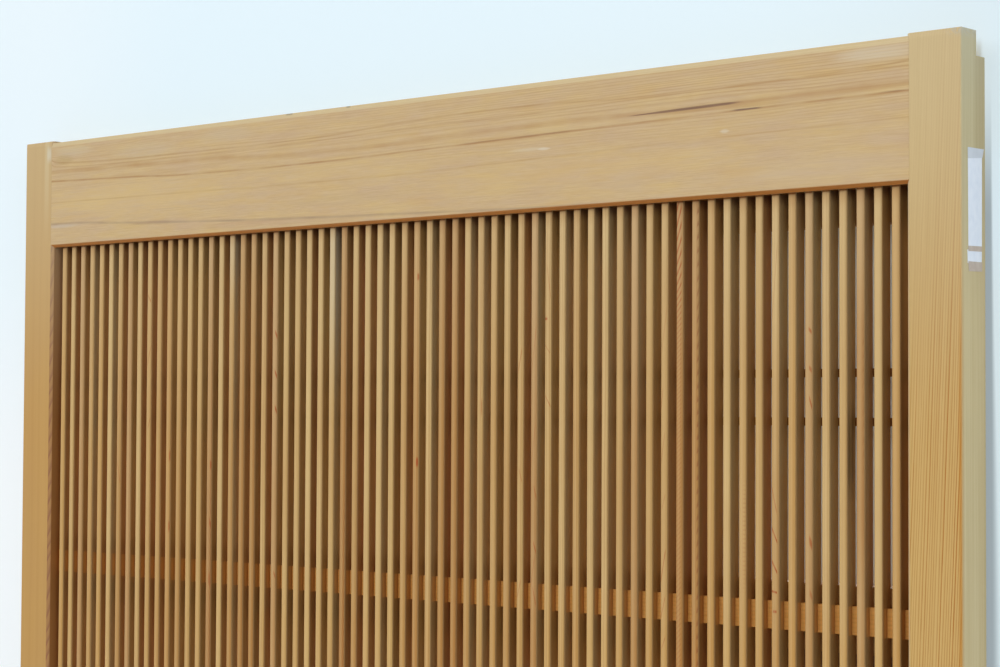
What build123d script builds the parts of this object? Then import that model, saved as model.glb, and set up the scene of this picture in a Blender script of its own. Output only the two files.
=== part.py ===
from build123d import *
import os

# Sliding lattice leaf of solid cedar, for an interior opening: two stiles, a top and a bottom
# rail, hidden middle rails, and upright slats lapped over cross bars.
# Sizes are in millimetres. X runs along the track, Y from the front face to the back, Z up.
# The origin is the middle of the foot, half-way through the thickness.

# Frame
leaf_height = 1757.0
leaf_thickness = 27.0
stile_width = 36.0
stile_horn = 1.5  # how far the stiles stand above the top rail
top_rail_face = 85.2
bottom_rail_face = 115.0
opening_chamfer = 2.2  # on the front edge all round the lattice
outer_ease = 0.5  # on the stiles' outer corners

# Edges that run in the head and sill grooves: the back is rebated, so a tongue is left in front
tongue_thickness = 17.0
head_tongue_height = 14.5  # from the top of the stiles
sill_tongue_height = 3.0
head_bevel_height = 3.3
head_bevel_depth = 0.6

# Lattice
slat_count = 66
slat_pitch = 12.0
slat_width = 5.5
slat_depth = 9.5
slat_setback = 5.0  # slat fronts behind the frame's front face
slat_ease = 0.4  # on the two front corners of a slat
end_gap = 7.25  # from the outer slats to the stiles
slats_per_node = 2

# Cross bars and middle rails, one rail and one wide bar between two bays
bay_count = 6  # all of one height
wide_bar_height = 17.0
wide_bar_depth = 5.8
wide_bar_setback = 5.6  # bar front behind the slat fronts
thin_bar_height = 5.0
thin_bar_depth = 5.0
thin_bar_spacing = 29.0  # between the middles of a pair
mid_rail_height = 40.0

# Joinery
slat_groove_depth = 8.0  # groove in the top and bottom rails for the slat ends
rail_back_drop = 20.5  # the rails reach this much further over the lattice behind it
frame_tenon_thickness = 9.0
frame_tenon_setback = 8.0  # from the front face
frame_tenon_length = 24.0
frame_tenon_gap = 12.0  # between the two tenons at one end of a rail
frame_tenon_margin = 16.0  # from a rail's outer edge
frame_tenon_cover = 1.2  # wood left between a tenon and the slat groove
mid_tenon_thickness = 6.0
mid_tenon_height = 26.0
mid_tenon_setback = 4.5  # from the middle rail's own front
mid_tenon_length = 24.0
bar_housing_length = 12.0  # how far the cross bars run into the stiles
mortise_spare = 1.0  # room for glue beyond a tenon's end

# Widths
opening_width = (slat_count - 1) * slat_pitch + slat_width + 2 * end_gap
half_opening = opening_width / 2
half_leaf = half_opening + stile_width

# Heights
top_rail_top = leaf_height - stile_horn
top_rail_bottom = top_rail_top - top_rail_face
wide_bar_count = bay_count - 1
bays_together = top_rail_bottom - bottom_rail_face - wide_bar_count * wide_bar_height
bay_face = bays_together / bay_count
bay_step = bay_face + wide_bar_height
head_shoulder = leaf_height - head_tongue_height
slat_top = top_rail_bottom + slat_groove_depth
slat_foot = bottom_rail_face - slat_groove_depth

# Depths, counted back from the front face
slat_front = slat_setback
slat_back = slat_front + slat_depth
wide_bar_front = slat_front + wide_bar_setback
wide_bar_back = wide_bar_front + wide_bar_depth
thin_bar_back = slat_back + thin_bar_depth
mid_tenon_front = slat_back + mid_tenon_setback
front = -leaf_thickness / 2


def block(x_range, depth_range, z_range):
    """Box between two corners."""
    lengths = [high - low for low, high in (x_range, depth_range, z_range)]
    middles = [(low + high) / 2 for low, high in (x_range, depth_range, z_range)]
    return Pos(middles[0], front + middles[1], middles[2]) * Box(*lengths)


def run_along_track(outline, half_length):
    """Solid with a cross-section given as (depth, height) corners."""
    corners = [(front + depth, height) for depth, height in outline]
    section = Plane.YZ * make_face(Polyline(*corners, close=True))
    return extrude(section, amount=half_length, both=True)


def run_upright(outline, bottom, top):
    """Solid with a plan given as (x, depth) corners."""
    corners = [(x, front + depth) for x, depth in outline]
    plan = Pos(0, 0, bottom) * make_face(Polyline(*corners, close=True))
    return extrude(plan, amount=top - bottom)


def wide_bar_middle(number):
    """Height of the middle of a wide bar, counted down from the top."""
    return top_rail_bottom - bay_face - wide_bar_height / 2 - number * bay_step


def thin_bar_middle(number):
    """Height of the middle of a thin bar: a pair stands half-way down each bay."""
    bay, is_lower = divmod(number, 2)
    bay_middle = top_rail_bottom - bay_face / 2 - bay * bay_step
    from_middle = thin_bar_spacing / 2
    return bay_middle - from_middle if is_lower else bay_middle + from_middle


def about(middle, height):
    """Range of the given height about its middle."""
    return (middle - height / 2, middle + height / 2)


# Heights of each kind of piece that enters the stiles

wide_bar_heights = [about(wide_bar_middle(n), wide_bar_height) for n in range(wide_bar_count)]
mid_rail_heights = [about(wide_bar_middle(n), mid_rail_height) for n in range(wide_bar_count)]
mid_tenon_heights = [about(wide_bar_middle(n), mid_tenon_height) for n in range(wide_bar_count)]
thin_bar_heights = [about(thin_bar_middle(n), thin_bar_height) for n in range(2 * bay_count)]


def twin_tenon_heights(low, high):
    """Two equal tenons, one above the other, within the given range."""
    height = (high - low - frame_tenon_gap) / 2
    return [(low, low + height), (high - height, high)]


top_tenon_heights = twin_tenon_heights(slat_top + frame_tenon_cover, top_rail_top - frame_tenon_margin)
bottom_tenon_heights = twin_tenon_heights(frame_tenon_margin, slat_foot - frame_tenon_cover)

frame_tenon_depths = (frame_tenon_setback, frame_tenon_setback + frame_tenon_thickness)
mid_tenon_depths = (mid_tenon_front, mid_tenon_front + mid_tenon_thickness)
wide_bar_depths = (wide_bar_front, wide_bar_back)
thin_bar_depths = (slat_back, thin_bar_back)


def stub(side, length, depths, heights):
    """Block that runs from the edge of the opening into a stile; side is 1 or -1."""
    ends = sorted((side * half_opening, side * (half_opening + length)))
    return block(ends, depths, heights)


def with_tenons(rail, length, depths, height_ranges):
    """Rail with the same tenons at both ends."""
    for heights in height_ranges:
        for side in (1, -1):
            rail += stub(side, length, depths, heights)
    return rail


def stile(side):
    """Upright of the frame, mortised for every rail and bar."""
    inner, outer = side * half_opening, side * half_leaf
    chamfered, eased = inner + side * opening_chamfer, outer - side * outer_ease
    plan = [
        (chamfered, 0),
        (eased, 0),
        (outer, outer_ease),
        (outer, leaf_thickness - outer_ease),
        (eased, leaf_thickness),
        (inner, leaf_thickness),
        (inner, opening_chamfer),
    ]
    piece = run_upright(plan, 0, leaf_height)
    across = sorted((inner, outer))
    behind_tongue = (tongue_thickness, leaf_thickness)
    piece -= block(across, behind_tongue, (head_shoulder, leaf_height))
    piece -= block(across, behind_tongue, (0, sill_tongue_height))
    bevel = [
        (0, leaf_height - head_bevel_height),
        (0, leaf_height),
        (head_bevel_depth, leaf_height),
    ]
    piece -= run_along_track(bevel, half_leaf)
    housings = [
        (frame_tenon_length, frame_tenon_depths, top_tenon_heights + bottom_tenon_heights),
        (mid_tenon_length, mid_tenon_depths, mid_tenon_heights),
        (bar_housing_length, wide_bar_depths, wide_bar_heights),
        (bar_housing_length, thin_bar_depths, thin_bar_heights),
    ]
    for length, depths, height_ranges in housings:
        for heights in height_ranges:
            piece -= stub(side, length + mortise_spare, depths, heights)
    return piece


def coped_ends(rail):
    """Rail cut to length, with its front corners fitted over the stiles' chamfers."""
    plan = [
        (-half_opening - opening_chamfer, 0),
        (half_opening + opening_chamfer, 0),
        (half_opening, opening_chamfer),
        (half_opening, leaf_thickness),
        (-half_opening, leaf_thickness),
        (-half_opening, opening_chamfer),
    ]
    return rail & run_upright(plan, 0, leaf_height)


def top_rail():
    """Wide head rail: tongue at the top, and a groove for the slats at the bottom."""
    shoulder = head_shoulder
    back_edge = top_rail_bottom - rail_back_drop
    section = [
        (0, top_rail_bottom + opening_chamfer),
        (0, top_rail_top - head_bevel_height),
        (head_bevel_depth, top_rail_top),
        (tongue_thickness, top_rail_top),
        (tongue_thickness, shoulder),
        (leaf_thickness, shoulder),
        (leaf_thickness, back_edge),
        (slat_back, back_edge),
        (slat_back, slat_top),
        (slat_front, slat_top),
        (slat_front, top_rail_bottom),
        (opening_chamfer, top_rail_bottom),
    ]
    rail = coped_ends(run_along_track(section, half_leaf))
    return with_tenons(rail, frame_tenon_length, frame_tenon_depths, top_tenon_heights)


def bottom_rail():
    """Foot rail: a groove for the slats at the top, and a short tongue for the sill."""
    back_edge = bottom_rail_face + rail_back_drop
    section = [
        (0, 0),
        (0, bottom_rail_face - opening_chamfer),
        (opening_chamfer, bottom_rail_face),
        (slat_front, bottom_rail_face),
        (slat_front, slat_foot),
        (slat_back, slat_foot),
        (slat_back, back_edge),
        (leaf_thickness, back_edge),
        (leaf_thickness, sill_tongue_height),
        (tongue_thickness, sill_tongue_height),
        (tongue_thickness, 0),
    ]
    rail = coped_ends(run_along_track(section, half_leaf))
    return with_tenons(rail, frame_tenon_length, frame_tenon_depths, bottom_tenon_heights)


def mid_rail(number):
    """Rail behind the slats, grooved for the wide bar."""
    across = (-half_opening, half_opening)
    rail = block(across, (slat_back, leaf_thickness), mid_rail_heights[number])
    rail -= block(across, wide_bar_depths, wide_bar_heights[number])
    return with_tenons(rail, mid_tenon_length, mid_tenon_depths, [mid_tenon_heights[number]])


def cross_bar(depths, heights):
    """Plain bar that runs from stile to stile and is housed in both."""
    reach = half_opening + bar_housing_length
    return block((-reach, reach), depths, heights)


def slat():
    """One upright slat on the middle line, notched at the back over each wide bar."""
    half = slat_width / 2
    plan = [
        (-half + slat_ease, slat_front),
        (half - slat_ease, slat_front),
        (half, slat_front + slat_ease),
        (half, slat_back),
        (-half, slat_back),
        (-half, slat_front + slat_ease),
    ]
    piece = run_upright(plan, slat_foot, slat_top)
    for heights in wide_bar_heights:
        piece -= block((-half, half), (wide_bar_front, slat_back), heights)
    return piece


def slat_group(first, one_slat):
    """Neighbouring slats, counted from the left."""
    last = min(first + slats_per_node, slat_count)
    left_middle = -half_opening + end_gap + slat_width / 2
    return Compound([Pos(left_middle + n * slat_pitch, 0, 0) * one_slat for n in range(first, last)])


pieces = {
    "left_stile": stile(-1),
    "right_stile": stile(1),
    "top_rail": top_rail(),
    "bottom_rail": bottom_rail(),
}
for n in range(wide_bar_count):
    pieces[f"mid_rail_{n + 1}"] = mid_rail(n)
    pieces[f"wide_bar_{n + 1}"] = cross_bar(wide_bar_depths, wide_bar_heights[n])
for n, heights in enumerate(thin_bar_heights):
    pieces[f"thin_bar_{n + 1:02d}"] = cross_bar(thin_bar_depths, heights)

one_slat = slat()
for node, first in enumerate(range(0, slat_count, slats_per_node)):
    pieces[f"slat_pair_{node + 1:02d}"] = slat_group(first, one_slat)

os.makedirs("parts", exist_ok=True)
for name, piece in pieces.items():
    piece.label = name
    export_step(piece, f"parts/{name}.step")

print("leaf", 2 * half_leaf, "x", leaf_thickness, "x", leaf_height)
print("pieces", sum(len(piece.solids()) for piece in pieces.values()), "in", len(pieces), "files")
print("volume", round(sum(piece.volume for piece in pieces.values())), "mm3")
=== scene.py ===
import math
import bpy
from mathutils import Matrix, Vector


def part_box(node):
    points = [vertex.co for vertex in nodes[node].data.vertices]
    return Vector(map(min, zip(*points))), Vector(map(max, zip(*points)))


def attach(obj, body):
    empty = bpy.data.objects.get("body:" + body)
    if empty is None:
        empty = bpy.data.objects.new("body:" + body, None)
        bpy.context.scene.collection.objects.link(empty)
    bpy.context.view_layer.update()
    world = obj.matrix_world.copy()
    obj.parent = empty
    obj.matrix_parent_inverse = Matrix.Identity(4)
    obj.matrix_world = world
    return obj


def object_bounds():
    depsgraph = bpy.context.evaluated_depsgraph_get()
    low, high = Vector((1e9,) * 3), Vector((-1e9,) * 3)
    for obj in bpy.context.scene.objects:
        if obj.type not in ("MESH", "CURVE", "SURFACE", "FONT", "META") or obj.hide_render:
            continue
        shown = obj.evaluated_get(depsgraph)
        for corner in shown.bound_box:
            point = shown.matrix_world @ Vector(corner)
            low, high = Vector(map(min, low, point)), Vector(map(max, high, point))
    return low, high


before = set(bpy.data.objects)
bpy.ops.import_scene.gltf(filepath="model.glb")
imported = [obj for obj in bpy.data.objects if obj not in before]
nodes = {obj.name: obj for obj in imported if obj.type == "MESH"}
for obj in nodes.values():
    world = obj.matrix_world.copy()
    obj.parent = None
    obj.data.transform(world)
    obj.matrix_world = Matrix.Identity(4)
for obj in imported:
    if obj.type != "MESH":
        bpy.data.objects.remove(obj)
cad_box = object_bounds()

# The leaf's own places, in metres
RAIL_LOW, RAIL_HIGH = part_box("top_rail")
HEAD = RAIL_HIGH.z  # top of the top rail
FRONT = RAIL_LOW.y  # front face of the rails
LEAF_HIGH = cad_box[1]
MM = 1000  # millimetres in a metre


def drop_of(height):
    """How far below the top of the top rail a height in metres lies, in millimetres."""
    return (HEAD - height) * MM


# Places on the leaf in millimetres: across from its middle, and down from the top rail's top
OPENING_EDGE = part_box("right_stile")[0].x * MM  # where the lattice ends and the stile begins
LEAF_EDGE = LEAF_HIGH.x * MM
MID_RAIL_HEAD = drop_of(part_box("mid_rail_1")[1].z)
WIDE_BAR_HEAD = drop_of(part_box("wide_bar_1")[1].z)
WIDE_BAR_FOOT = drop_of(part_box("wide_bar_1")[0].z)
BAY_STEP = drop_of(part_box("wide_bar_2")[0].z) - WIDE_BAR_FOOT
LATTICE_HEAD = WIDE_BAR_FOOT - BAY_STEP

# The slats, in millimetres: two in each CAD node
PAIR_LOW, PAIR_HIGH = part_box("slat_pair_01")
SLAT_PITCH = (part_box("slat_pair_02")[0].x - PAIR_LOW.x) * MM / 2
SLAT_WIDTH = (PAIR_HIGH.x - PAIR_LOW.x) * MM - SLAT_PITCH
FIRST_SLAT = PAIR_LOW.x * MM + SLAT_WIDTH / 2  # middle of the slat at the far left
SLAT_FRONT = (PAIR_LOW.y - FRONT) * MM  # how far the slats are set back

# Heights of the bump, in metres
LINED_RELIEF = 0.00006
WOOD_RELIEF = 0.00005
SLAT_RELIEF = 0.00004
PAPER_RELIEF = 0.00003


def linear(red, green, blue):
    """A colour as it looks on a screen, turned into the linear values that shaders take."""
    def one(value):
        share = value / 255
        return share / 12.92 if share <= 0.04045 else ((share + 0.055) / 1.055) ** 2.4
    return (one(red), one(green), one(blue), 1.0)


# Shader graphs

class Field:
    """A number or colour at every point of a surface, with ordinary arithmetic."""

    def __init__(self, graph, socket):
        self.graph = graph
        self.socket = socket

    def __add__(self, other):
        return self.graph.math("ADD", self, other)

    def __radd__(self, other):
        return self.graph.math("ADD", other, self)

    def __sub__(self, other):
        return self.graph.math("SUBTRACT", self, other)

    def __rsub__(self, other):
        return self.graph.math("SUBTRACT", other, self)

    def __mul__(self, other):
        return 0.0 if other == 0.0 else self.graph.math("MULTIPLY", self, other)

    def __rmul__(self, other):
        return self * other

    def __truediv__(self, other):
        return self.graph.math("DIVIDE", self, other)

    def __abs__(self):
        return self.graph.math("ABSOLUTE", self)


class Tree:
    """A node tree, with short ways to add nodes and to link them."""

    def __init__(self, tree):
        self.tree = tree

    def put(self, value, socket):
        if isinstance(value, Field):
            value = value.socket
        if isinstance(value, bpy.types.NodeSocket):
            self.tree.links.new(value, socket)
        else:
            socket.default_value = value

    def node(self, kind, inputs=(), **settings):
        made = self.tree.nodes.new(kind)
        for key, value in settings.items():
            setattr(made, key, value)
        for key, value in dict(inputs).items():
            self.put(value, made.inputs[key])
        return made

    def math(self, operation, *values, clamp=False):
        inputs = enumerate(values)
        made = self.node("ShaderNodeMath", inputs, operation=operation, use_clamp=clamp)
        return Field(self, made.outputs[0])

    def blend(self, share, first, second):
        """The first shader at a share of 0 and the second at a share of 1."""
        return self.node("ShaderNodeMixShader", {0: share, 1: first, 2: second}).outputs[0]

    def seen_as_backdrop(self):
        """1 for the camera's own rays and for those by way of a mirror or glass, and 0 for light."""
        path = self.node("ShaderNodeLightPath").outputs
        seen = self.math("MAXIMUM", path["Is Camera Ray"], path["Is Glossy Ray"])
        return self.math("MAXIMUM", seen, path["Is Transmission Ray"])


class Graph(Tree):
    """The nodes of one material. Places are in millimetres: x from the leaf's middle to the right,
    depth back from the front face, and drop down from the top of the top rail."""

    def __init__(self, name):
        self.material = bpy.data.materials.new(name)
        self.material.use_nodes = True
        super().__init__(self.material.node_tree)
        self.shader = self.tree.nodes["Principled BSDF"]
        coordinates = self.node("ShaderNodeTexCoord").outputs["Object"]
        place = self.node("ShaderNodeSeparateXYZ", {"Vector": coordinates}).outputs
        self.x = Field(self, place["X"]) * MM
        self.depth = (Field(self, place["Y"]) - FRONT) * MM
        self.drop = (HEAD - Field(self, place["Z"])) * MM
        normal = self.node("ShaderNodeNewGeometry").outputs["True Normal"]
        faces = self.node("ShaderNodeSeparateXYZ", {"Vector": normal}).outputs
        self.faces_right = Field(self, faces["X"])
        self.faces_up = Field(self, faces["Z"])

    def clamp(self, value):
        if not isinstance(value, Field):
            return min(max(value, 0.0), 1.0)
        return self.math("ADD", value, 0.0, clamp=True)

    def step(self, value, start, end):
        """0 before start, 1 after end, and smooth between them. Start may be above end."""
        low, high, at_low, at_high = start, end, 0.0, 1.0
        if start > end:
            low, high, at_low, at_high = end, start, 1.0, 0.0
        made = self.node(
            "ShaderNodeMapRange",
            {0: value, 1: low, 2: high, 3: at_low, 4: at_high},
            interpolation_type="SMOOTHSTEP",
        )
        return Field(self, made.outputs[0])

    def band(self, value, start, end, soft):
        """1 between start and end, and 0 outside."""
        begun = self.step(value, start - soft, start + soft)
        return begun * self.step(value, end + soft, end - soft)

    def turned(self, faces):
        """1 where a surface is turned that way, and 0 elsewhere."""
        return self.step(faces, 0.5, 0.9)

    def in_bay(self):
        """Drop as it would be in the first bay, from the lattice's head to the wide bar's foot."""
        share = self.math("FRACT", (self.drop - LATTICE_HEAD) / BAY_STEP)
        return share * BAY_STEP + LATTICE_HEAD

    def mix(self, share, a, b, blend="MIX"):
        """Colour a at a share of 0 and colour b at a share of 1."""
        if not isinstance(share, Field) and share == 0.0:
            return a
        made = self.node("ShaderNodeMix", {0: share, 6: a, 7: b}, data_type="RGBA", blend_type=blend)
        return Field(self, made.outputs[2])

    def vector(self, x, y, z):
        made = self.node("ShaderNodeCombineXYZ", {0: x, 1: y, 2: z})
        return Field(self, made.outputs[0])

    def noise(self, x, y, z, detail=2.0, roughness=0.5):
        """Smooth noise from about -1 to 1. Each argument is a place over the size of a feature."""
        made = self.node(
            "ShaderNodeTexNoise",
            {"Vector": self.vector(x, y, z), "Scale": 1.0, "Detail": detail, "Roughness": roughness},
        )
        return (Field(self, made.outputs[0]) - 0.5) * 2

    def random(self, number, seed):
        """A value from 0 to 1 that is fixed for each whole number."""
        made = self.node(
            "ShaderNodeTexWhiteNoise",
            {"Vector": self.vector(number, seed, 0.0)},
            noise_dimensions="3D",
        )
        return Field(self, made.outputs[0])

    def path(self, along, points):
        """Value of a smooth curve through (along, value) points."""
        start, end = points[0][0], points[-1][0]
        values = [value for _, value in points]
        low, high = min(values), max(values)
        made = self.node("ShaderNodeFloatCurve", {1: (along - start) / (end - start)})
        curve = made.mapping.curves[0]
        for _ in points[2:]:
            curve.points.new(0.5, 0.5)
        for place, (where, value) in zip(curve.points, points):
            place.location = ((where - start) / (end - start), (value - low) / (high - low))
        made.mapping.update()
        return Field(self, made.outputs[0]) * (high - low) + low

    def show(self, shader):
        """Shows this shader instead of the plain one."""
        self.put(shader, self.tree.nodes["Material Output"].inputs["Surface"])

    def finish(self, colour, roughness, height, relief):
        """Sets the plain shader. Relief is the depth in metres of a height of 1."""
        self.put(colour, self.shader.inputs["Base Color"])
        self.put(roughness, self.shader.inputs["Roughness"])
        self.shader.inputs["Specular IOR Level"].default_value = 0.2
        bump = self.node("ShaderNodeBump", {"Height": height, "Distance": relief})
        self.put(bump.outputs[0], self.shader.inputs["Normal"])
        return self.material


# What the woods share

def sawtooth(g, value):
    """Late wood: each growth ring darkens slowly and ends sharply."""
    part = g.math("FRACT", value)
    return g.step(part, 0.35, 0.86) * g.step(part, 1.0, 0.9)


def fibre(g, along, across, through, seed):
    """Fine fibres and broad ones, stretched along the grain."""
    fine = g.noise(along / 26 + seed, across / 0.55, through / 0.55, detail=3.0, roughness=0.6)
    broad = g.noise(along / 90 + seed, across / 3.2, through / 3.2, detail=2.0)
    return fine, broad


def with_fibres(g, wood, fine, share, dark):
    """Darkens the wood along its fine fibres."""
    return g.mix(g.clamp(0.5 + 0.5 * fine) * share, wood, linear(*dark))


def paled_by_painted_light(g, wood, share):
    """Painted light and sheen: pales the wood towards the head of the leaf."""
    near_head = g.step(g.drop, 250.0, -30.0) * share
    return g.mix(near_head, wood, linear(214, 200, 162))


def tinted(g, share, wood, red, green, blue):
    """Multiplies the wood's colour by red, green and blue, as far as share says."""
    return g.mix(share, wood, (red, green, blue, 1.0), blend="MULTIPLY")


# Stiles

def with_hairs(g, wood, across, inward, wander):
    """Adds hair-fine lines, dark and pale, that are clearer to the right and lower down."""
    place = inward / 0.5 + 0.4 * wander
    hairs = g.noise(place, g.drop / 300, g.depth / 0.5, detail=3.0, roughness=0.6)
    reach = 0.7 * g.step(across, 4.0, 28.0) + 0.6 * g.step(g.drop, 60.0, 260.0)
    reach = 0.35 + 0.65 * g.clamp(reach)
    wood = g.mix(g.clamp(2.2 * hairs) * reach * 0.5, wood, linear(184, 130, 64))
    return g.mix(g.clamp(-1.6 * hairs) * reach * 0.3, wood, linear(228, 196, 132))


def olive_side(g):
    """Right stile's outer side, with soft streaks, redder along its front edge."""
    streaks = g.noise(g.drop / 240, g.depth / 2.2, 0.0, detail=3.0)
    olive = g.mix(g.clamp(0.5 + 0.9 * streaks), linear(215, 198, 154), linear(199, 179, 131))
    front_edge = g.step(g.depth, 3.5, 0.5) * g.step(g.drop, 40.0, 200.0)
    olive = g.mix(front_edge * 0.5, olive, linear(196, 150, 84))
    olive = g.mix(g.step(g.drop, 60.0, 0.0) * 0.45, olive, linear(198, 190, 158))
    head_end = g.step(g.drop, 170.0, 60.0)
    olive = tinted(g, head_end, olive, 0.9, 0.94, 0.98)
    return tinted(g, head_end * g.step(g.depth, 12.0, 18.0), olive, 0.88, 0.86, 0.83)


def lined_stile():
    """Right stile: close growth lines on the front that lean a little, and soft ones on the side."""
    g = Graph("stile_right")
    across = g.x - OPENING_EDGE
    wander = g.noise(g.drop / 170, g.x / 14, g.depth / 14, detail=2.0) * 0.9
    inward = across + g.drop * 0.044 + g.depth * 0.12 + wander
    fine, broad = fibre(g, g.drop, g.x, g.depth, 3.0)
    # Rings of uneven strength
    spread = inward + g.noise(inward / 6, g.drop / 900, 0.0, detail=1.0) * 1.3
    ring = spread / 1.75
    part = g.math("FRACT", ring)
    late = g.step(part, 0.42, 0.88) * g.step(part, 1.0, 0.92)
    rings = late * (0.45 + 0.75 * g.random(g.math("FLOOR", ring), 17.0))
    # Front: the lines are clearer to the right and lower down
    wood = g.mix(g.clamp(0.5 + 0.7 * broad), linear(215, 179, 115), linear(205, 167, 101))
    wood = g.mix(g.step(g.drop, 120.0, 330.0) * 0.6, wood, linear(220, 182, 112))
    strength = 0.22 + 0.95 * g.clamp(g.step(across, 0.0, 26.0) + g.step(g.drop, 90.0, 330.0))
    strength = strength * (0.5 + 0.5 * g.step(g.drop, 10.0, 230.0)) * g.clamp(0.85 + 0.8 * fine)
    wood = g.mix(g.clamp(rings * strength), wood, linear(178, 112, 38))
    wood = with_hairs(g, wood, across, inward, wander)
    arris = g.step(across, 33.2, 35.4) * g.step(g.drop, 60.0, 230.0)
    wood = g.mix(arris * 0.7, wood, linear(190, 126, 38))
    # Outer side, chamfer paled as painted light, and the side towards the lattice darkened as painted
    # shade
    side = g.turned(g.faces_right)
    wood = g.mix(side, wood, olive_side(g))
    wood = g.mix(g.step(across, 2.3, 1.9) * 0.6, wood, linear(236, 208, 160))
    inner = g.step(across, 1.2, 0.4) * g.step(g.depth, 2.0, 2.6)
    wood = g.mix(inner, wood, linear(150, 98, 46))
    wood = with_fibres(g, wood, fine, 0.14, (150, 104, 54))
    wood = paled_by_painted_light(g, wood, 0.55 - 0.43 * side)
    # Bruised corner at the head
    bruise = g.noise(g.x / 2.4, g.drop / 2.4, g.depth / 2.4, detail=3.0)
    corner = g.step(across, 24.0, 34.0) * g.step(g.drop, 5.0, -1.0) * g.step(bruise, -0.25, 0.1)
    wood = g.mix(corner * 0.7, wood, linear(190, 184, 166))
    height = rings * -0.5 + fine * 0.5 - corner * 3.0
    return g.finish(wood, 0.52 + 0.06 * broad, height, LINED_RELIEF)


def plain_stile():
    """Left stile: smooth, with broad soft bands, and short dark ticks along its inner chamfer."""
    g = Graph("stile_left")
    across = -OPENING_EDGE - g.x
    wander = g.noise(g.drop / 220, g.x / 20, g.depth / 20, detail=2.0) * 3.0
    bands = g.noise(0.0, (g.x + wander) / 7, g.depth / 9, detail=3.0)
    fine, broad = fibre(g, g.drop, g.x, g.depth, 11.0)
    blush = g.noise(g.drop / 60, g.x / 26, g.depth / 26, detail=3.0)
    wood = g.mix(g.clamp(0.5 + 0.8 * bands), linear(209, 165, 97), linear(196, 149, 83))
    wood = g.mix(g.clamp(0.4 + 0.9 * blush) * 0.35, wood, linear(196, 152, 96))
    wood = with_fibres(g, wood, fine, 0.12, (150, 106, 56))
    # Pale stripe and chalky mark at the head
    pale = g.band(across, 5.5, 11.0, 1.2) * g.step(g.drop, 90.0, 10.0)
    wood = g.mix(pale * 0.35, wood, linear(222, 206, 166))
    chalk = g.band(across, 2.5, 8.0, 1.5) * g.band(g.drop, 4.0, 14.0, 4.0)
    wood = g.mix(chalk * 0.6, wood, linear(222, 220, 206))
    # Ticked chamfer, and the side towards the lattice darkened as painted shade
    ticks = sawtooth(g, g.drop / 12.5 + g.noise(g.drop / 60, 0.0, 0.0) * 1.2 + g.x * 0.3)
    chamfer = g.step(across, 2.4, 1.9)
    wood = g.mix(chamfer * (0.45 + 0.3 * ticks), wood, linear(142, 92, 74))
    inner = g.step(g.depth, 1.6, 2.6) * g.step(across, 1.2, 0.4)
    inner_shade_wood = g.mix(g.step(g.depth, 3.0, 12.0), linear(148, 100, 52), linear(150, 92, 40))
    wood = g.mix(inner, wood, inner_shade_wood)
    wood = paled_by_painted_light(g, wood, 0.45)
    return g.finish(wood, 0.54 + 0.06 * broad, bands * 0.4 + fine * 0.5, WOOD_RELIEF)


# Rails and bars

# Streaks of the top rail's front: each is a curve of (x, drop) places, its half width in
# millimetres, its colour and its strength
RAIL_STREAKS = (
    (((-402, 31.5), (-300, 34.3), (-200, 37.4), (-100, 38.0), (0, 37.0), (120, 35.3), (250, 33.2),
      (402, 31.5)),
     0.75, (170, 118, 62), 0.8),
    (((-402, 24), (-200, 27), (-70, 31.0), (50, 29.5), (150, 28.2), (245, 28.4), (330, 27.0),
      (402, 26.2)),
     1.9, (180, 132, 76), 0.6),
    (((-402, 66.5), (-370, 66.8), (-320, 69.4), (-250, 72.4), (-165, 75.5), (0, 80.0)),
     1.0, (156, 128, 104), 0.65),
    (((-402, 49), (-200, 51.0), (-100, 52.0), (0, 52.4), (60, 51.6), (200, 49.0), (402, 47.0)),
     0.6, (186, 142, 86), 0.5),
    (((-402, 14), (-150, 20.5), (0, 16.2), (100, 15.0), (230, 18.0), (300, 17.4), (402, 14.0)),
     0.7, (176, 130, 74), 0.6),
    (((-402, 18), (-200, 23.0), (0, 21.2), (90, 20.8), (200, 19.0), (402, 17.0)),
     0.6, (178, 132, 76), 0.5),
)

# Bleached and pinkish patches of the top rail's front: the middle (x, drop), the half sizes, the
# colour and the strength
RAIL_PATCHES = (
    ((382, 8.0), (26, 4.5), (222, 212, 190), 0.75),
    ((-374, 9.0), (22, 4.0), (208, 200, 178), 0.5),
    ((-285, 15.0), (34, 6.0), (204, 192, 166), 0.45),
    ((-190, 10.0), (30, 5.0), (208, 196, 168), 0.4),
    ((-386, 14.5), (12, 3.5), (176, 146, 78), 0.7),
    ((-300, 50.0), (110, 13.0), (226, 194, 130), 0.6),
    ((-60, 45.0), (80, 10.0), (220, 188, 128), 0.4),
    ((150, 60.0), (120, 9.0), (218, 182, 122), 0.35),
    ((-165, 78.5), (46, 2.6), (188, 146, 112), 0.65),
    ((-90, 79.5), (40, 2.6), (188, 156, 124), 0.5),
    ((112, 44.0), (14, 1.3), (224, 212, 184), 0.6),
    ((126, 44.6), (5, 0.9), (232, 226, 210), 0.8),
    ((272, 44.8), (3, 1.2), (232, 226, 206), 0.7),
    ((345, 72.0), (50, 7.0), (208, 184, 154), 0.5),
    ((300, 74.0), (26, 2.5), (210, 186, 156), 0.45),
    ((196, 71.0), (12, 7.5), (206, 182, 150), 0.45),
    ((-60, 66.0), (60, 4.0), (190, 160, 122), 0.4),
    ((-386, 68.5), (22, 1.6), (206, 206, 204), 0.45),
    ((-272, 71.6), (22, 1.5), (160, 122, 94), 0.55),
)

# Half width of the dark pith along x
PITH_WIDTH = ((-440.0, 0.4), (190.0, 0.4), (216.0, 0.8), (262.0, 1.3), (290.0, 0.6), (440.0, 0.6))


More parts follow.
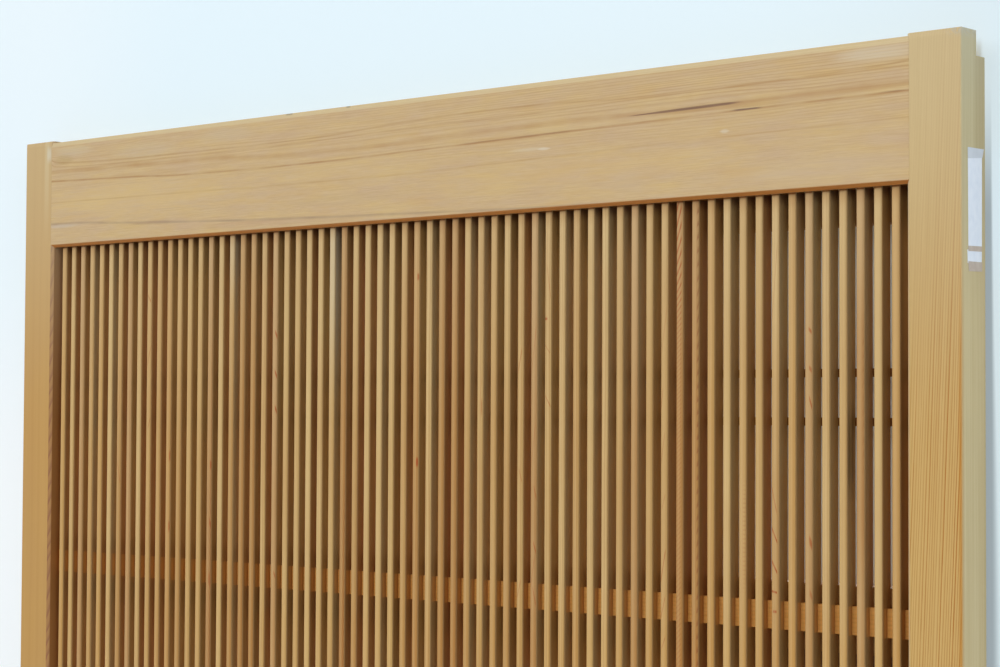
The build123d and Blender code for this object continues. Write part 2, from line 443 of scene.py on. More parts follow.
def mottled_board(g, cloudy, strands, cords):
    """Top rail's ground: pale wood with pinkish clouds, cords, strands, hairs and amber places."""
    patches = g.noise(g.x / 55, g.drop / 9, g.depth / 9, detail=4.0, roughness=0.6)
    wood = g.mix(g.clamp(0.5 + 1.5 * patches), linear(217, 185, 127), linear(207, 175, 137))
    wood = g.mix(g.clamp(0.2 + 1.0 * cloudy + 0.8 * cords) * 0.5, wood, linear(212, 188, 156))
    wood = g.mix(g.clamp(0.9 * cords) * 0.5, wood, linear(196, 158, 108))
    wood = g.mix(g.clamp(0.1 + 1.3 * strands) * 0.45, wood, linear(178, 138, 96))
    wood = g.mix(g.clamp(0.1 - 1.3 * strands) * 0.4, wood, linear(232, 212, 172))
    hairs = g.noise(g.x / 11, g.drop / 0.5, g.depth / 0.5 + 3.0, detail=3.0, roughness=0.7)
    wood = g.mix(g.clamp(1.6 * hairs) * 0.28, wood, linear(176, 130, 82))
    wood = g.mix(g.clamp(-1.6 * hairs) * 0.24, wood, linear(232, 210, 166))
    amber = g.step(g.noise(g.x / 60 + 7.0, g.drop / 11, g.depth / 11, detail=3.0), 0.1, 0.5)
    return g.mix(amber * 0.4, wood, linear(214, 174, 108))


def with_patches(g, wood, cloudy, strands, cords):
    """Adds the top rail's patches, ragged at their edges."""
    for place, size, colour, strength in RAIL_PATCHES:
        along = (g.x - place[0]) / size[0]
        across = (g.drop - place[1]) / size[1]
        far = along * along + across * across + 0.9 * cloudy + 1.1 * cords
        share = g.step(far, 1.9, -0.2) * g.clamp(0.55 + 0.9 * strands) * strength
        wood = g.mix(share, wood, linear(*colour))
    return wood


def with_streaks(g, wood, wander, broad):
    """Adds the top rail's long streaks, which fade in and out."""
    for points, half_width, colour, strength in RAIL_STREAKS:
        away = abs(g.drop - g.path(g.x, points) + 0.15 * wander)
        width = half_width * (1.0 + 0.6 * broad)
        core = away / g.math("MAXIMUM", width, 0.3)
        fading = g.clamp(0.65 + 0.9 * g.noise(g.x / 34, 0.0, half_width))
        wood = g.mix(g.step(core, 1.6, 0.1) * strength * fading, wood, linear(*colour))
    return wood


def with_pith(g, wood, fine):
    """Adds the top rail's darkest marks: burnt places, the pith and a thread beside it."""
    burnt = g.band(g.x, 60.0, 148.0, 16.0) + g.band(g.x, 384.0, 400.0, 6.0)
    burnt = burnt * g.clamp(0.6 + fine)
    burnt_core = abs(g.drop - 35.8 + (g.x - 60) * 0.0138)
    wood = g.mix(g.clamp(burnt) * g.step(burnt_core, 0.9, 0.1) * 0.75, wood, linear(138, 88, 54))
    pith_core = abs(g.drop - 28.3 + (g.x - 248) * 0.016) / g.path(g.x, PITH_WIDTH)
    pith = g.band(g.x, 200.0, 282.0, 6.0) * g.step(pith_core, 1.0, 0.3)
    wood = g.mix(pith * g.clamp(0.85 + 0.4 * fine), wood, linear(112, 72, 58))
    thread = g.band(g.x, 279.0, 298.0, 4.0) * g.step(abs(g.drop - 32.5), 0.85, 0.1)
    return g.mix(thread * 0.9, wood, linear(108, 76, 70))


def streaked_rail():
    """Top rail: flat-sawn board with long streaks that run almost along it."""
    g = Graph("rail_top")
    wander = g.noise(g.x / 240, g.drop / 24, g.depth / 24, detail=2.0) * 2.4
    fine, broad = fibre(g, g.x, g.drop, g.depth, 23.0)
    from_heart = g.drop - 30 + wander * 1.6 + g.x * 0.006
    spread = g.math("SQRT", from_heart * from_heart + 60.0)
    rings = sawtooth(g, spread / 1.55 + g.noise(spread / 4, g.x / 500, 0.0, detail=1.0) * 0.9)
    cloudy = g.noise(g.x / 22, g.drop / 5, g.depth / 5 + 9.0, detail=3.0)
    strand_place = (g.drop + wander * 0.4) / 0.42
    strands = g.noise(g.x / 46, strand_place, g.depth / 0.42, detail=4.0, roughness=0.7)
    cord_place = (g.drop + wander * 0.7) / 1.9
    cords = g.noise(g.x / 150 + 5.0, cord_place, g.depth / 1.9, detail=3.0, roughness=0.6)
    wood = mottled_board(g, cloudy, strands, cords)
    lines = rings * g.clamp(0.16 + 0.2 * g.step(g.x, -150.0, 300.0) + 0.25 * broad)
    wood = g.mix(lines * g.step(g.drop, 62.0, 20.0), wood, linear(178, 128, 70))
    wood = with_fibres(g, wood, fine, 0.2, (166, 124, 74))
    wood = with_patches(g, wood, cloudy, strands, cords)
    wood = with_streaks(g, wood, wander, broad)
    wood = with_pith(g, wood, fine)
    # Chamfer over the lattice in dark orange as painted shade with warm reflected light, upper arris
    # paled as a painted highlight, with two nicks, and the slat groove darkened as painted shade
    chamfer_shade_wood = g.mix(g.clamp(0.5 + fine), linear(190, 114, 22), linear(166, 92, 12))
    wood = g.mix(g.step(g.faces_up, -0.45, -0.6), wood, chamfer_shade_wood)
    wood = g.mix(g.step(g.drop, 3.8, 3.0) * 0.6, wood, linear(220, 200, 154))
    nicks = g.band(g.x, -123.0, -116.0, 1.5) + g.band(g.x, -60.0, -56.0, 1.0)
    wood = g.mix(nicks * g.step(g.drop, 2.0, 0.4) * 0.7, wood, linear(132, 122, 104))
    groove_shade = g.step(g.drop, 84.4, 84.9) * g.step(g.depth, 2.2, 3.4)
    wood = g.mix(groove_shade, wood, linear(140, 92, 44))
    wood = paled_by_painted_light(g, wood, 0.12)
    return g.finish(wood, 0.52 + 0.06 * broad, rings * -0.3 + fine * 0.5, WOOD_RELIEF)


def plain_rail():
    """Bottom rail: the same board as the top rail, without its marked streaks."""
    g = Graph("rail_bottom")
    wander = g.noise(g.x / 260, g.drop / 26, g.depth / 26, detail=2.0) * 3.0
    from_heart = g.drop - 1700 + wander
    rings = sawtooth(g, g.math("SQRT", from_heart * from_heart + 600.0) / 2.8)
    fine, broad = fibre(g, g.x, g.drop, g.depth, 57.0)
    patches = g.noise(g.x / 80, g.drop / 18, g.depth / 18, detail=3.0)
    wood = g.mix(g.clamp(0.5 + 0.9 * patches), linear(206, 170, 108), linear(192, 150, 92))
    wood = g.mix(rings * (0.3 + 0.15 * broad), wood, linear(168, 112, 56))
    wood = with_fibres(g, wood, fine, 0.16, (156, 110, 60))
    return g.finish(wood, 0.54 + 0.06 * broad, rings * -0.3 + fine * 0.5, WOOD_RELIEF)


def bars(name, light, dark, seed):
    """Cross bars and hidden rails: plain orange-brown timber with lines along it."""
    g = Graph(name)
    wander = g.noise(g.x / 200, g.drop / 12, g.depth / 12, detail=2.0) * 1.5
    rings = sawtooth(g, (g.drop + g.depth * 0.5 + wander) / 2.6)
    fine, broad = fibre(g, g.x, g.drop, g.depth, seed)
    wood = g.mix(g.clamp(0.5 + 0.6 * broad), linear(*light), linear(*dark))
    wood = g.mix(rings * 0.12, wood, linear(152, 88, 32))
    wood = with_fibres(g, wood, fine, 0.15, (140, 86, 36))
    return g.finish(wood, 0.55 + 0.05 * broad, rings * -0.4 + fine * 0.5, WOOD_RELIEF)


# Slats, by their number from the left

# Slats of unlike timber, with its share and its colour: orange, pinkish, warmer and pale
SLAT_TIMBERS = (
    ((19, 20, 28, 36, 37, 53, 54), 0.85, (184, 132, 70)),
    ((3, 8, 12, 16, 22, 34, 43, 50, 61, 64), 0.8, (197, 155, 106)),
    ((1, 5, 12, 34, 55, 60, 66), 0.6, (210, 162, 92)),
    ((6, 9, 17, 25, 26, 30, 31, 35, 45, 47, 48, 56, 59, 62, 65), 0.85, (222, 188, 128)),
)
DARKER_BELOW = (7, 13, 16, 18, 19, 20, 29, 34, 38, 41, 43, 50, 59)
GREY_SIDES = (4, 6, 18, 27, 31, 35, 38, 39, 43, 45, 47, 48, 49, 50, 56, 59, 60, 61, 62, 63, 64)
DARK_SIDES = (16, 20, 23, 25, 28, 32, 36, 41, 53, 54, 65)

# Dark strokes of the figure in single slats: drop and place across the slat of the middle, how far
# it drops for each millimetre across, half its thickness, half its width and its strength
SLAT_STROKES = {
    7: ((215, -1.0, -6.0, 3.0, 1.4, 0.35), (266, 0.3, 5.0, 3.0, 1.4, 0.45)),
    10: ((130, -0.2, 1.5, 1.6, 1.6, 0.45), (175, 0.0, -4.0, 2.0, 1.6, 0.5),
         (227, 0.8, -3.0, 2.0, 1.2, 0.4)),
    12: ((252, 1.8, 0.0, 6.0, 0.7, 0.5), (306, 1.9, 0.0, 6.0, 0.7, 0.55)),
    16: ((258, 1.9, 0.0, 5.0, 0.8, 0.6), (302, 1.5, 2.0, 4.0, 1.0, 0.5),
         (344, 1.2, 1.0, 7.0, 1.2, 0.4)),
    22: ((161, 1.4, 2.0, 2.4, 1.0, 0.7), (190, 1.3, 2.0, 2.4, 1.0, 0.7),
         (216, 1.5, 2.0, 2.6, 0.9, 0.7), (337, 1.6, 2.0, 2.2, 0.9, 0.6)),
    34: ((124, 1.6, 0.0, 3.4, 0.7, 0.6), (252, 1.4, 0.0, 4.4, 0.8, 0.95)),
    39: ((205, 0.3, -9.0, 2.4, 1.4, 0.35), (214, 1.3, 0.0, 8.0, 0.5, 0.35)),
    42: ((183, -0.3, -5.0, 2.4, 1.3, 0.6), (259, 0.3, 3.0, 2.0, 1.3, 0.35),
         (334, -0.5, -4.0, 2.0, 1.2, 0.5)),
    43: ((175, 0.0, -8.0, 3.0, 1.6, 0.4), (238, -0.3, -8.0, 2.6, 1.5, 0.4),
         (270, 1.2, 4.0, 1.8, 1.0, 0.6), (306, 1.0, 3.0, 1.8, 1.0, 0.7),
         (322, -0.6, -6.0, 2.4, 1.4, 0.5), (338, 0.8, 4.0, 1.8, 1.3, 0.6)),
    44: ((131, 0.4, 6.5, 2.0, 1.6, 0.45), (156, -1.7, 0.0, 1.2, 1.0, 0.95),
         (176, -0.3, 1.3, 0.9, 1.8, 0.35), (210, 0.0, 1.6, 1.2, 2.0, 0.45)),
    52: ((165, 0.0, -7.0, 2.2, 1.8, 0.35), (209, -1.8, -9.0, 2.4, 0.7, 0.6),
         (239, -0.9, -7.0, 2.2, 1.1, 0.5), (273, -0.4, -3.5, 1.6, 1.2, 0.4),
         (313, -0.6, -5.5, 2.0, 1.6, 0.8), (339, -0.7, -4.0, 1.6, 1.5, 0.6),
         (361, -0.3, -2.5, 1.3, 1.2, 0.5)),
    59: ((140, -0.6, -12.0, 3.4, 1.8, 0.4), (269, -0.8, 4.2, 2.0, 1.7, 0.55),
         (290.5, -0.5, 2.2, 1.3, 1.8, 1.0), (309.5, -0.5, 1.8, 1.4, 1.8, 1.0),
         (324.5, -0.6, 0.2, 1.0, 1.8, 0.9), (336.3, -0.3, 0.0, 1.2, 1.2, 0.9)),
    61: ((168, 1.0, 1.0, 1.8, 1.0, 0.6), (191, 1.2, 1.0, 2.2, 0.9, 0.5),
         (211, 1.4, 3.0, 2.4, 0.9, 0.65), (294, 1.4, 2.0, 4.0, 0.9, 0.6),
         (325, 1.6, 2.0, 3.0, 0.8, 0.4)),
}

# Rings passed on the way down slat 53, where they cross its front as chevrons: (drop, rings)
CHEVRON_PHASE = ((85, 0.0), (133, 5.8), (150, 9.3), (166, 13.8), (250, 43.0), (366, 80.0))


class Slats(Graph):
    """Wood of the slats with the numbers there. Each slat has its own tone and fine lines, and its
    sides are darker than its front as painted shade."""

    def __init__(self, name, there):
        super().__init__(name)
        self.there = there
        self.number = self.math("FLOOR", (self.x - FIRST_SLAT) / SLAT_PITCH + 0.5) + 1
        self.within = self.x - FIRST_SLAT - (self.number - 1) * SLAT_PITCH
        self.inside = self.depth - SLAT_FRONT
        self.below_rail = self.drop - LATTICE_HEAD
        self.shift = self.random(self.number, 5.0) * 40
        along = self.drop + self.shift * 90
        self.fine, self.broad = fibre(self, along, self.within, self.depth, 31.0)
        place = self.drop / 90 + self.shift
        self.lengthwise = self.noise(place, self.number * 7.7, 0.0, detail=3.0)
        chalky = self.among(27) * self.step(self.drop, 225.0, 120.0) * 0.6
        chalky = chalky + self.among(18) * self.step(self.drop, 150.0, 95.0) * 0.4
        self.chalky = self.clamp(chalky)

    def among(self, *members):
        """1 on slats with one of these numbers, and 0 on others. It only looks at the slats there."""
        found = [slat for slat in self.there if slat in members]
        if len(found) in (0, len(self.there)):
            return 1.0 if found else 0.0
        return sum(self.math("COMPARE", self.number, float(slat), 0.5) for slat in found)

    def fronts(self):
        """Fronts: the timber of each slat, with growth lines along it."""
        tone = self.random(self.number, 1.0)
        wood = self.mix(tone, linear(207, 165, 103), linear(219, 184, 122))
        for members, share, colour in SLAT_TIMBERS:
            wood = self.mix(self.among(*members) * share, wood, linear(*colour))
        darker = self.among(*DARKER_BELOW) * self.step(self.drop, 120.0, 290.0)
        wood = self.mix(darker * 0.5, wood, linear(182, 132, 72))
        uneven = self.clamp(0.4 + 1.4 * self.lengthwise) * 0.35
        wood = self.mix(uneven, wood, linear(190, 140, 80))
        wander = self.noise(self.drop / 150 + self.shift, self.number * 3.1, 0.0, detail=2.0)
        ring_width = 1.3 + 1.8 * self.random(self.number, 3.0)
        place = self.within + self.inside * 0.4 + wander * 2.0
        rings = sawtooth(self, place / ring_width + self.shift)
        rings_share = rings * self.random(self.number, 2.0) * 0.42
        wood = self.mix(rings_share, wood, linear(168, 106, 48))
        wood = with_fibres(self, wood, self.fine, 0.16, (150, 102, 54))
        redder = self.step(self.drop, 322.0, 372.0) * (0.4 + 0.6 * self.step(self.x, -400.0, 200.0))
        wood = tinted(self, redder, wood, 1.0, 0.93, 0.8)
        wood = paled_by_painted_light(self, wood, 0.36)
        return self.mix(self.chalky, wood, linear(216, 200, 164))

    def strokes(self, slat):
        """Dark strokes on the front of one slat."""
        total = 0.0
        for drop, across, slope, thickness, width, strength in SLAT_STROKES.get(slat, ()):
            sloped = self.math("MULTIPLY_ADD", self.within, -slope, self.drop)
            away = abs(sloped - (drop - slope * across))
            beside = abs(self.within - across)
            near = self.step(away, thickness, thickness * 0.25)
            total = near * self.step(beside, width + 0.4, width - 0.2) * strength + total
        return total

    def figured(self, wood):
        """Adds the figure of single slats: strokes, chevrons, beads, ticks and feathers."""
        for slat in self.there:
            share = self.clamp(self.strokes(slat) * 1.15) * self.among(slat)
            wood = self.mix(share, wood, linear(174, 84, 32))
        if 53 in self.there:
            phase = self.path(self.drop, CHEVRON_PHASE)
            chevrons = sawtooth(self, phase + self.within * 0.32) * self.step(self.within, 1.9, 0.6)
            chevrons = chevrons * (0.35 + 0.45 * self.step(self.drop, 200.0, 120.0))
            wood = self.mix(self.clamp(chevrons * 1.3) * self.among(53), wood, linear(168, 84, 34))
        beads = sawtooth(self, self.drop / 8.2 + self.within * 0.2 + 0.6 * self.broad)
        beads = beads * self.step(self.within, 0.9, 1.7)
        wood = self.mix(beads * self.among(54) * 0.5, wood, linear(140, 72, 46))
        beaded = self.among(64) * self.band(self.drop, 168.0, 254.0, 8.0)
        wood = self.mix(beads * beaded * 0.3, wood, linear(120, 70, 38))
        orange = self.among(64) * self.band(self.drop, 150.0, 300.0, 30.0)
        wood = self.mix(orange * 0.6, wood, linear(180, 126, 68))
        ticks = sawtooth(self, self.drop / 2.7) * self.step(self.within, -0.2, 0.5)
        ticks = ticks * self.band(self.drop, 262.0, 322.0, 10.0)
        wood = self.mix(ticks * self.among(57) * 0.4, wood, linear(190, 130, 84))
        feather = sawtooth(self, (self.drop + self.within * 5) / 9)
        feather = feather * self.step(self.drop, 255.0, 290.0)
        return self.mix(feather * self.among(16, 28) * 0.45, wood, linear(150, 84, 44))

    def front_light_and_shade(self, wood):
        """Darkens the front's rounded edges as painted shade, pales its middle as a painted
        highlight, and darkens its end under the rail as the rail's painted shadow.
        """
        wood = tinted(self, self.step(self.within, 0.7, 2.7) * 0.75, wood, 0.74, 0.72, 0.66)
        wood = tinted(self, self.step(self.within, -1.7, -2.7) * 0.4, wood, 0.8, 0.76, 0.68)
        middle = self.band(self.within, -1.8, 0.3, 0.9)
        wood = self.mix(middle * 0.22, wood, linear(228, 196, 142))
        wood = tinted(self, self.step(self.below_rail, 12.8, 1.3) * 0.6, wood, 0.72, 0.6, 0.5)
        return tinted(self, self.step(self.below_rail, 1.4, 0.2), wood, 0.5, 0.28, 0.12)

    def sides(self):
        """Sides, darker than the fronts as painted shade: olive near the front and red-brown behind
        as painted light
            and shade, redder lower down, with painted reflected light beside the wide bar and painted
            shade along the hidden rail."""
        hue = self.step(self.random(self.number, 8.0), 0.2, 0.8)
        grey = self.among(*GREY_SIDES)
        right = self.turned(self.faces_right)
        # Painted light and shade: sides darker than the fronts, olive near the front and red-brown
        # behind
        near = self.mix(hue, linear(152, 122, 73), linear(150, 110, 64))
        near = self.mix(grey * 0.75, near, linear(160, 143, 104))
        deep = self.mix(hue, linear(200, 162, 97), linear(198, 141, 87))
        deep = self.mix(grey * 0.5, deep, linear(204, 180, 126))
        wood = self.mix(self.step(self.inside, 1.5, 7.5), near, deep)
        wood = tinted(self, self.among(*DARK_SIDES) * 0.8, wood, 0.78, 0.76, 0.74)
        # Painted shade on the sides, deeper towards the right
        side_shade = 0.4 + 0.3 * self.step(self.x, -260.0, -60.0) + 0.26 * self.step(self.x, 120.0, 330.0)
        wood = tinted(self, side_shade, wood, 0.76, 0.75, 0.74)
        uneven = self.clamp(0.5 + 1.1 * self.lengthwise) * 0.3
        wood = self.mix(uneven, wood, linear(150, 100, 52))
        wood = self.mix(self.chalky * right, wood, linear(152, 146, 126))
        wood = with_fibres(self, wood, self.fine, 0.14, (120, 78, 40))
        stain = self.among(63) * self.band(self.drop, 215.0, 262.0, 12.0) * right
        wood = tinted(self, stain * self.clamp(0.7 + self.broad), wood, 0.5, 0.5, 0.45)
        # Painted shadow of the top rail on the sides just under it
        wood = tinted(self, self.step(self.below_rail, 8.8, -0.2), wood, 0.45, 0.32, 0.3)
        wood = tinted(self, self.step(self.drop, 120.0, 300.0) * 0.7, wood, 1.0, 0.85, 0.64)
        bay_drop = self.in_bay()
        # Painted shade on the sides where the hidden rail stands behind them, above and below the
        # wide bar
        hidden_rail_shade = self.step(bay_drop, MID_RAIL_HEAD - 4.75, MID_RAIL_HEAD + 3.25) * 0.22
        hidden_rail_shade = hidden_rail_shade + self.step(bay_drop, LATTICE_HEAD + 26.8, LATTICE_HEAD + 4.8) * 0.12
        wood = tinted(self, hidden_rail_shade, wood, 0.78, 0.66, 0.5)
        # Painted light: the wide bar's orange glow reflected on the sides beside it
        bar_bounce_light = self.step(bay_drop, WIDE_BAR_HEAD - 0.45, WIDE_BAR_HEAD + 0.35)
        bar_bounce_light = bar_bounce_light * self.step(self.inside, 0.5, 3.5)
        wood = self.mix(bar_bounce_light * 0.45, wood, linear(196, 132, 58))
        # Painted highlight along the sides' front edges
        return self.mix(self.step(self.inside, 1.7, 0.5) * 0.45, wood, linear(196, 160, 108))

    def wood(self):
        fronts = self.front_light_and_shade(self.figured(self.fronts()))
        wood = self.mix(self.turned(abs(self.faces_right)), fronts, self.sides())
        return self.finish(wood, 0.54 + 0.05 * self.broad, self.fine, SLAT_RELIEF)


# Dressing the CAD nodes

WELD = 0.00001  # metres
EASE = 0.00035  # width of an eased edge, in metres
SLAT_EASE = 0.0006


def dress(name, material, ease_width=EASE):
    """Gives a CAD node its wood, and eases its sharp edges."""
    node = nodes[name]
    node.data.materials.clear()
    node.data.materials.append(material)
    weld = node.modifiers.new("weld", "WELD")
    weld.merge_threshold = WELD
    ease = node.modifiers.new("ease", "BEVEL")
    ease.width = ease_width
    ease.segments = 2
    ease.limit_method = "ANGLE"
    ease.angle_limit = math.radians(30)
    ease.harden_normals = False


woods = {
    "right_stile": lined_stile(),
    "left_stile": plain_stile(),
    "top_rail": streaked_rail(),
    "bottom_rail": plain_rail(),
    # The cross bars' bright orange holds painted light, standing in for light bounced between the
    # slats
    "wide_bar": bars("cross_bars", (246, 182, 98), (234, 164, 78), 41.0),
    # The thin bars' dark brown is painted shade
    "thin_bar": bars("thin_bars", (132, 84, 44), (112, 68, 34), 43.0),
    "mid_rail": bars("middle_rails", (186, 140, 86), (168, 118, 66), 47.0),
}
for name in nodes:
    kind = name.rstrip("_0123456789")
    if kind == "slat_pair":
        last = 2 * int(name[-2:])
        dress(name, Slats(name, (last - 1, last)).wood(), SLAT_EASE)
    else:
        dress(name, woods[kind])


# Blank paper slips, stuck on the right-hand side of the right stile

SIDE = LEAF_HIGH.x
SLIP_ROWS = 24
SLIP_COLUMNS = 10
PAPER = 0.00006  # thickness, in metres
TAPE = 0.00003
PAPER_CURL = 0.00003  # how far a slip lifts here and there, in metres
TAPE_CURL = 0.00002
ON_WOOD = 0.00001  # how far a slip's back lies out from the wood, in metres
ON_PAPER = 0.000105


def add_mesh(name, points, faces):
    mesh = bpy.data.meshes.new(name)
    mesh.from_pydata(points, [], faces)
    made = bpy.data.objects.new(name, mesh)
    bpy.context.scene.collection.objects.link(made)
    return made


def ripple(depth, drop):
    """Gentle waves between 0 and 1 over a slip."""
    return 0.5 + 0.5 * math.sin(drop * 0.55 + depth * 0.9) * math.cos(drop * 0.21 - depth * 0.35)


def slip_points(outline, thickness, curl, base):
    """Rows of points over the back of a slip, and then over its front."""
    front_top, back_top, back_bottom, front_bottom = (Vector(corner) for corner in outline)
    points = []
    for side in (0.0, 1.0):
        for row in range(SLIP_ROWS + 1):
            for column in range(SLIP_COLUMNS + 1):
                across = column / SLIP_COLUMNS
                top = front_top.lerp(back_top, across)
                bottom = front_bottom.lerp(back_bottom, across)
                depth, drop = top.lerp(bottom, row / SLIP_ROWS)
                lift = base + curl * ripple(depth, drop) + side * thickness
                points.append((SIDE + lift, FRONT + depth / MM, HEAD - drop / MM))
    return points


def slip_faces():
    """Faces over the back and the front of a slip, and round its rim."""
    width = SLIP_COLUMNS + 1
    layer = (SLIP_ROWS + 1) * width
    faces = []
    for row in range(SLIP_ROWS):
        for column in range(SLIP_COLUMNS):
            a = row * width + column
            b, c, d = a + 1, a + width + 1, a + width
            faces.append((a, d, c, b))
            faces.append((a + layer, b + layer, c + layer, d + layer))
    rim = list(range(width))
    rim += [row * width + SLIP_COLUMNS for row in range(1, SLIP_ROWS + 1)]
    rim += [SLIP_ROWS * width + column for column in reversed(range(SLIP_COLUMNS))]
    rim += [row * width for row in reversed(range(1, SLIP_ROWS))]
    faces += [(a, b, b + layer, a + layer) for a, b in zip(rim, rim[1:] + rim[:1])]
    return faces


def slip(name, outline, thickness, curl, base, material):
    """Thin sheet on the leaf's right side. The outline is (depth, drop) corners in millimetres, in
    order: front top, back top, back bottom, front bottom."""
    made = add_mesh(name, slip_points(outline, thickness, curl, base), slip_faces())
    made.data.materials.append(material)
    for face in made.data.polygons:
        face.use_smooth = True
    crisp = made.modifiers.new("crisp", "EDGE_SPLIT")
    crisp.split_angle = math.radians(40)
    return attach(made, "root")


def paper(name, light, dark, roughness):
    """Thin white paper, or tape over it, a little uneven in tone."""
    g = Graph(name)
    cloudy = g.noise(g.drop / 6, g.depth / 4, 0.0, detail=3.0)
    fibres = g.noise(g.drop / 0.4, g.depth / 0.4, 3.0, detail=2.0)
    tone = g.mix(g.clamp(0.35 + 0.5 * cloudy + 0.15 * fibres), linear(*light), linear(*dark))
    return g.finish(tone, roughness + 0.08 * cloudy, fibres + cloudy * 0.6, PAPER_RELIEF)


white_paper = paper("paper_white", (238, 241, 246), (214, 221, 232), 0.75)
grey_tape = paper("tape_grey", (214, 217, 222), (190, 194, 200), 0.4)
brown_tape = paper("tape_brown", (206, 192, 178), (170, 146, 126), 0.4)
PAPER_SLIPS = {
    "label_slip": ((7.2, 67.5), (23.0, 68.0), (22.6, 123.2), (7.6, 123.6)),
    "label_strip": ((6.4, 124.4), (22.6, 124.0), (22.4, 131.8), (6.8, 132.0)),
}
TAPES = {
    "label_tape_top": (((7.0, 66.2), (25.2, 66.0), (23.4, 71.0), (7.2, 72.6)), grey_tape),
    "label_tape_middle": (((7.4, 122.2), (22.7, 121.8), (22.6, 124.8), (7.4, 125.2)), brown_tape),
    "label_tape_foot": (((7.4, 131.0), (22.9, 130.8), (22.8, 136.2), (7.8, 136.6)), brown_tape),
}
for name, outline in PAPER_SLIPS.items():
    slip(name, outline, PAPER, PAPER_CURL, ON_WOOD, white_paper)
for name, (outline, tape) in TAPES.items():
    slip(name, outline, TAPE, TAPE_CURL, ON_PAPER, tape)


# Stage: pale floor, and a pale wall close behind the leaf that can't be seen from behind

WALL_GAP = 0.002  # metres, as the sizes below are
WALL_REACH = 7  # to each side
WALL_HEIGHT = 4.5
FLOOR_REACH = 9
SQUARE = ((-1, -1), (1, -1), (1, 1), (-1, 1))
MATT = 0.9  # roughness
PALE = linear(224, 241, 254)
WARM_PALE = linear(244, 249, 252)
RIGHT_SHADE_PAINT = linear(206, 220, 230)
SHADE = linear(150, 166, 182)
RAIL_SHADE = linear(120, 92, 70)
WALL_GLOW = 0.6  # share of what is seen of the wall that is plain pale backdrop
FLOOR_GLOW = 0.4  # the same for the floor
AMBIENT = 0.46  # strength of the world's light


def wall_material():
    """Pale paint, with a narrow shade beside the leaf and a brown one below each hidden rail. It
    glows a little where it is seen beside the leaf, and is clear to lamps and from behind."""
    g = Graph("wall")
    # Painted shade: the paint and glow are darker to the far right; the paint is warmer to the far
    # left
    far_left = g.step(g.x, -250.0, -470.0) * (0.3 + 0.6 * g.step(g.drop, 40.0, 300.0))
    far_right = g.step(g.x, 250.0, 900.0)
    shade_width = 1.5 + 5.5 * g.step(g.drop, 60.0, 400.0)
    shaded = g.step((g.x - (LEAF_EDGE + 2)) / shade_width, 1.0, 0.0)
    shaded = shaded * g.step(g.x, LEAF_EDGE - 6, LEAF_EDGE - 2) * g.step(g.drop, 20.0, 110.0)
    covered = g.step(abs(g.x), LEAF_EDGE - 2, LEAF_EDGE - 5) * g.step(g.drop, 0.0, 4.0)
    under_rail = covered * g.step(g.drop, 340.0, 350.0)
    under_rail = under_rail * g.step(g.in_bay(), LATTICE_HEAD + 40, LATTICE_HEAD + 24)
    paint = g.mix(far_left, PALE, WARM_PALE)
    paint = g.mix(far_right, paint, RIGHT_SHADE_PAINT)
    paint = g.mix(shaded, paint, SHADE)
    paint = g.mix(under_rail, paint, RAIL_SHADE)
    g.put(paint, g.shader.inputs["Base Color"])
    g.shader.inputs["Roughness"].default_value = MATT
    glow_colour = g.mix(far_left, linear(234, 250, 255), linear(250, 254, 255))
    glow_strength = (1.04 - 0.38 * far_right) * (1.0 - 0.46 * shaded)
    glow = g.node("ShaderNodeEmission", {"Color": glow_colour, "Strength": glow_strength})
    glow_share = g.seen_as_backdrop() * (1.0 - covered) * WALL_GLOW
    seen = g.blend(glow_share, g.shader.outputs[0], glow.outputs[0])
    to_lamp = g.node("ShaderNodeLightPath").outputs["Is Shadow Ray"]
    behind = g.node("ShaderNodeNewGeometry").outputs["Backfacing"]
    clear = g.node("ShaderNodeBsdfTransparent").outputs[0]
    g.show(g.blend(g.math("MAXIMUM", to_lamp, behind), seen, clear))
    return g.material


def floor_material():
    """Pale floor that keeps the leaf's shadow and glows a little."""
    g = Graph("floor")
    g.shader.inputs["Base Color"].default_value = linear(228, 232, 236)
    g.shader.inputs["Roughness"].default_value = MATT
    glow = g.node("ShaderNodeEmission", {"Color": linear(232, 238, 243), "Strength": 1.0})
    glow_share = g.seen_as_backdrop() * FLOOR_GLOW
    g.show(g.blend(glow_share, g.shader.outputs[0], glow.outputs[0]))
    return g.material


def stage_sheet(name, corners, material):
    made = add_mesh(name, corners, [(0, 1, 2, 3)])
    made.data.materials.append(material)


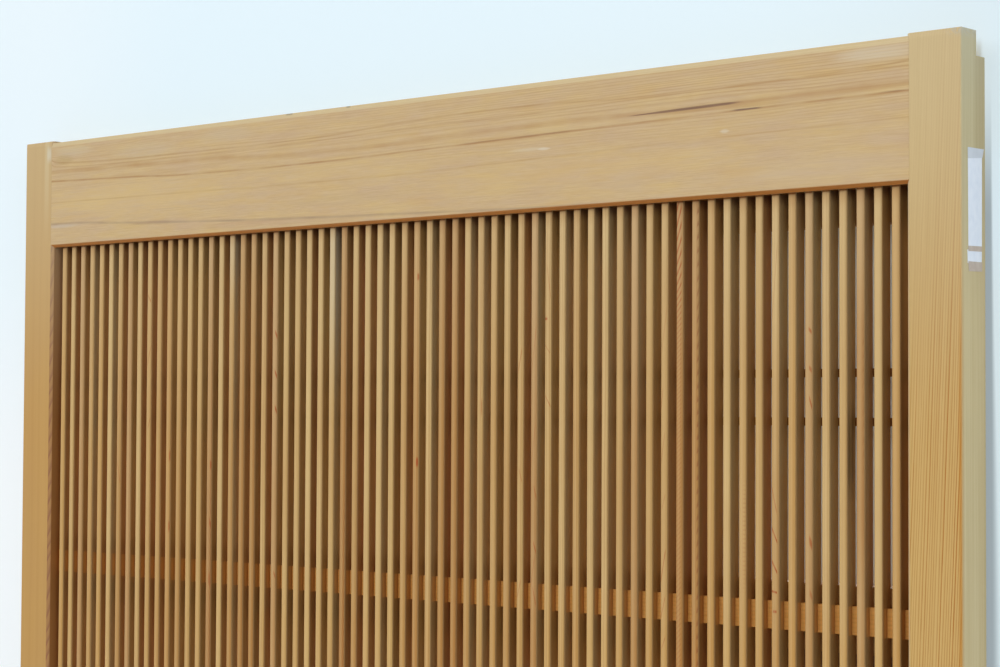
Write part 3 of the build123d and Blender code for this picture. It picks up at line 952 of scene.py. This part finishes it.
def studio_world():
    """Even soft light, and a pale backdrop for what is seen past the wall and the floor."""
    world = bpy.data.worlds.new("studio")
    bpy.context.scene.world = world
    world.use_nodes = True
    sky = Tree(world.node_tree)
    ambient = sky.tree.nodes["Background"]
    ambient.inputs["Color"].default_value = (1.0, 1.0, 1.0, 1.0)
    ambient.inputs["Strength"].default_value = AMBIENT
    backdrop = sky.node("ShaderNodeBackground", {"Color": PALE, "Strength": 1.0})
    chosen = sky.blend(sky.seen_as_backdrop(), ambient.outputs[0], backdrop.outputs[0])
    sky.put(chosen, sky.tree.nodes["World Output"].inputs["Surface"])


def lamp(name, place, target, width, height, power):
    """Soft rectangular lamp that faces the target."""
    data = bpy.data.lights.new(name, "AREA")
    data.shape = "RECTANGLE"
    data.size = width
    data.size_y = height
    data.energy = power
    made = bpy.data.objects.new(name, data)
    made.location = place
    aim = Vector(target) - Vector(place)
    made.rotation_euler = aim.to_track_quat("-Z", "Y").to_euler()
    bpy.context.scene.collection.objects.link(made)


wall_y = LEAF_HIGH.y + WALL_GAP
wall_corners = [(WALL_REACH * x, wall_y, WALL_HEIGHT * max(z, 0)) for x, z in SQUARE]
floor_corners = [(FLOOR_REACH * x, FLOOR_REACH * y, 0) for x, y in SQUARE]
stage_sheet("wall", wall_corners, wall_material())
stage_sheet("floor", floor_corners, floor_material())
studio_world()
lamp("key", (-0.9, -2.5, 3.3), (0.0, 0.0, 1.25), 2.4, 1.6, 38.0)
lamp("fill", (2.8, -1.5, 2.3), (0.3, 0.0, 1.3), 1.4, 2.0, 26.0)
lamp("behind", (-2.0, 2.6, 2.4), (0.0, 0.0, 0.9), 2.0, 2.0, 95.0)


# Camera, as fitted to the photograph

PHOTO_WIDTH = 1000  # pixels
FOCAL = 2233.81  # pixels
SENSOR = 36.0  # millimetres
EYE = (1.07794, FRONT - 1.10869, HEAD - 0.21839)
TURN = Vector((0.0360277, 0.0084547, 0.7286180))  # axis times angle, from a level view to the back

camera_data = bpy.data.cameras.new("camera")
camera_data.sensor_width = SENSOR
camera_data.lens = FOCAL / PHOTO_WIDTH * SENSOR
camera_data.clip_start = 0.05
camera_data.dof.use_dof = False
camera = bpy.data.objects.new("camera", camera_data)
bpy.context.scene.collection.objects.link(camera)
level_view = Matrix.Rotation(math.radians(90), 4, "X")
turned_view = Matrix.Rotation(TURN.length, 4, TURN.normalized()) @ level_view
camera.matrix_world = Matrix.Translation(EYE) @ turned_view
bpy.context.scene.camera = camera

bpy.context.scene.view_settings.view_transform = "Standard"
